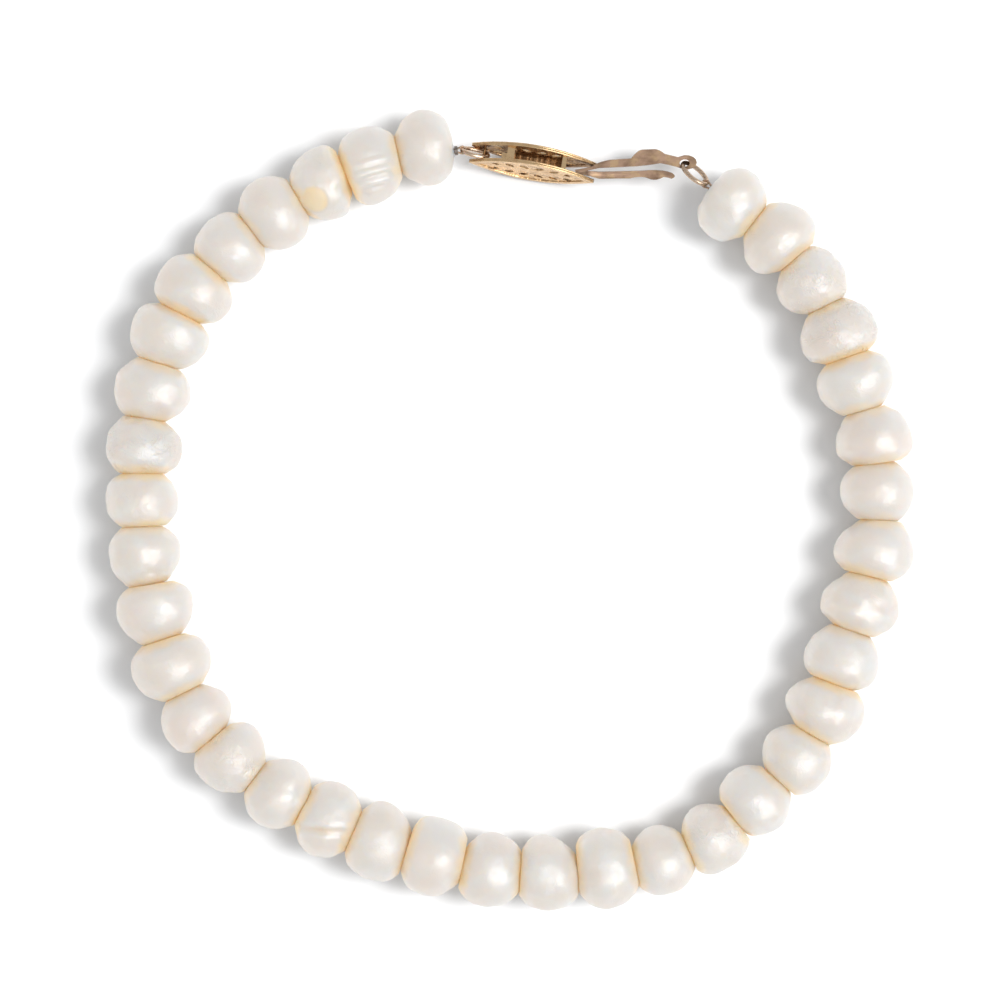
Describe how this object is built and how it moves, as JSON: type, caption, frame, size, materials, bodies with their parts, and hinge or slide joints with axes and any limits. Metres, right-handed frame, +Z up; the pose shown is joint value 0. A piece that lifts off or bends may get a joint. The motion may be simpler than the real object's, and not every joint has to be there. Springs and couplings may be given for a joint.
{
  "type": "pearl bracelet",
  "caption": "Closed bracelet of button-shaped pearls strung on a thread, joined by a small gold hook clasp with a pierced marquise case, lying flat.",
  "frame": {"origin": "middle of the bracelet's foot, on the surface it lies on", "axes": "+Z up out of the wrist opening, +Y towards the clasp, +X towards the clasp's hook"},
  "size_m": [0.0652, 0.0646, 0.0061],
  "materials": {
    "pearl": "satin nacre, cream with a pink tinge, golden at the drill holes",
    "thread": "matt cream silk",
    "yellow_gold": "yellow gold, pierced and engraved, tarnished in the hollows",
    "rose_gold": "dull reddish gold with darker edges",
    "pale_gold": "drawn gold wire, softly polished",
    "dark_metal": "dark oxidised metal"
  },
  "bodies": {
    "root": {"pearl_01": "pearl", "pearl_02": "pearl", "pearl_03": "pearl", "pearl_04": "pearl", "pearl_05": "pearl", "pearl_06": "pearl", "pearl_07": "pearl", "pearl_08": "pearl", "pearl_09": "pearl", "pearl_10": "pearl", "pearl_11": "pearl", "pearl_12": "pearl", "pearl_13": "pearl", "pearl_14": "pearl", "pearl_15": "pearl", "pearl_16": "pearl", "pearl_17": "pearl", "pearl_18": "pearl", "pearl_19": "pearl", "pearl_20": "pearl", "pearl_21": "pearl", "pearl_22": "pearl", "pearl_23": "pearl", "pearl_24": "pearl", "pearl_25": "pearl", "pearl_26": "pearl", "pearl_27": "pearl", "pearl_28": "pearl", "pearl_29": "pearl", "pearl_30": "pearl", "pearl_31": "pearl", "pearl_32": "pearl", "pearl_33": "pearl", "pearl_34": "pearl", "pearl_35": "pearl", "pearl_36": "pearl", "pearl_37": "pearl", "thread": "thread", "clasp_case": "yellow_gold", "clasp_hook": "rose_gold", "jump_ring_left": "pale_gold", "jump_ring_right": "pale_gold", "end_loop_left": "pale_gold", "end_loop_right": "pale_gold", "end_crimp": "dark_metal"}
  },
  "joints": []
}
